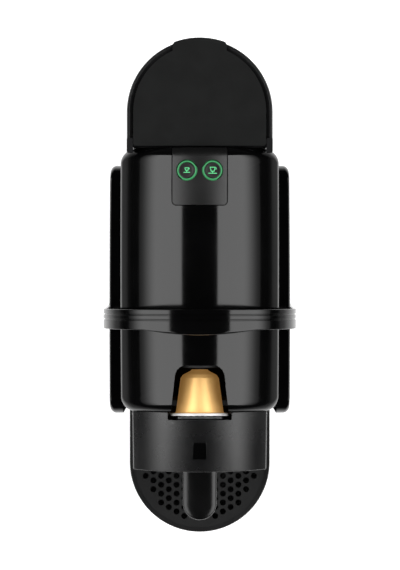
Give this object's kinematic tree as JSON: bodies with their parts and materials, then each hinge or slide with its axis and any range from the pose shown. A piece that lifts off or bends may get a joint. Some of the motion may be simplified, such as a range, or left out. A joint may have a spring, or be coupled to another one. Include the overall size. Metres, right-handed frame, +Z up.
{
  "type": "pod coffee machine",
  "caption": "Small black pod coffee machine with a lever hoop, top capsule slot, rear water tank and fold-up cup support.",
  "frame": {"origin": "centre of the footprint on the counter", "axes": "+Z up, the front (spout and drip tray) faces -Y, +X to the right seen from above with the front at the bottom"},
  "size_m": [0.118, 0.321, 0.243],
  "materials": {
    "satin_black": "satin",
    "rubber": "matte",
    "gloss_black": "high gloss",
    "inner_plastic": "matte",
    "steel": "brushed",
    "lit_green": "backlit translucent",
    "board": "solder mask",
    "screw_steel": "zinc plated",
    "cast_alloy": "as cast",
    "nylon": "natural nylon",
    "rotor_red": "plain",
    "silicone": "translucent silicone",
    "smoked_tank": "smoked transparent",
    "matte_grey": "matte, fine texture",
    "gold_foil": "anodised satin gold",
    "foil": "plain foil"
  },
  "bodies": {
    "machine": {"base_chassis": "satin_black", "rubber_feet": "rubber", "body_shell": "satin_black", "top_cover": "gloss_black", "left_side_panel": "gloss_black", "right_side_panel": "gloss_black", "front_head_cover": "satin_black", "head_badge": "gloss_black", "coffee_spout": "satin_black", "coffee_funnel": "inner_plastic", "capsule_guide": "inner_plastic", "extraction_plate": "steel", "drop_chute": "inner_plastic", "guide_rods": "steel", "button_panel": "satin_black", "espresso_light_ring": "lit_green", "lungo_light_ring": "lit_green", "button_board": "board", "main_board": "board", "board_screws": "screw_steel", "housing_screws": "screw_steel", "thermoblock": "cast_alloy", "thermal_fuses": "steel", "injector_pipe": "steel", "water_pump": "inner_plastic", "pump_mounts": "rubber", "flow_meter": "nylon", "inlet_tube": "silicone", "pump_tube": "silicone", "pressure_tube": "nylon", "dock_spigot": "inner_plastic", "dock_seal": "rubber", "cord_gland": "rubber", "pivot_bushes": "nylon"},
    "lever": {"lever_handle": "gloss_black", "lever_shaft": "steel"},
    "piston": {"brew_piston": "inner_plastic", "slot_shutter": "satin_black", "piercing_blades": "steel", "cage_seal": "rubber"},
    "rotor": {"flow_rotor": "rotor_red"},
    "espresso_key": {"espresso_button": "satin_black", "espresso_icon": "lit_green"},
    "lungo_key": {"lungo_button": "satin_black", "lungo_icon": "lit_green"},
    "tank": {"water_tank": "smoked_tank", "tank_valve": "inner_plastic", "tank_filter": "nylon"},
    "poppet": {"valve_poppet": "nylon", "valve_spring": "steel"},
    "lid": {"tank_lid": "matte_grey", "lid_pins": "steel"},
    "tray": {"drip_tray": "satin_black", "used_capsule_container": "satin_black", "cup_support_pin": "steel"},
    "support": {"cup_support": "matte_grey"},
    "capsule": {"coffee_capsule": "gold_foil", "capsule_foil": "foil"}
  },
  "joints": [
    {"name": "lever_swing", "type": "hinge", "parent": "machine", "child": "lever", "pos_m": [0, -0.01, 0.111], "axis": [1, 0, 0], "range_deg": [0, 60]},
    {"name": "piston_slide", "type": "slide", "parent": "machine", "child": "piston", "axis": [0, -1, 0], "range_m": [0, 0.025]},
    {"name": "rotor_spin", "type": "hinge", "parent": "machine", "child": "rotor", "pos_m": [0.031, 0.063, 0.069], "axis": [0, 0, 1], "continuous": true},
    {"name": "espresso_press", "type": "slide", "parent": "machine", "child": "espresso_key", "axis": [0.1334, -0.0924, -0.9867], "range_m": [0, 0.0008], "stiffness_N_per_m": 600},
    {"name": "lungo_press", "type": "slide", "parent": "machine", "child": "lungo_key", "axis": [-0.1334, -0.0924, -0.9867], "range_m": [0, 0.0008], "stiffness_N_per_m": 600},
    {"name": "tank_lift", "type": "slide", "parent": "machine", "child": "tank", "axis": [0, 0, 1], "range_m": [0, 0.2]},
    {"name": "poppet_slide", "type": "slide", "parent": "tank", "child": "poppet", "axis": [0, 0, -1], "range_m": [0, 0.003]},
    {"name": "lid_hinge", "type": "hinge", "parent": "tank", "child": "lid", "pos_m": [0, 0.0969, 0.2002], "axis": [1, 0, 0], "range_deg": [0, 95]},
    {"name": "tray_slide", "type": "slide", "parent": "machine", "child": "tray", "axis": [0, -1, 0], "range_m": [0, 0.15]},
    {"name": "support_fold", "type": "hinge", "parent": "tray", "child": "support", "pos_m": [0, -0.0785, 0.0482], "axis": [-1, 0, 0], "range_deg": [0, 90]},
    {"name": "capsule_lift", "type": "slide", "parent": "machine", "child": "capsule", "axis": [0, 0.0698, 0.9976], "range_m": [0, 0.06]}
  ],
  "couplings": [
    {"joint": "piston_slide", "follows": "lever_swing", "m_per_rad": 0.023873},
    {"joint": "poppet_slide", "follows": "tank_lift", "ratio": 0.015}
  ]
}
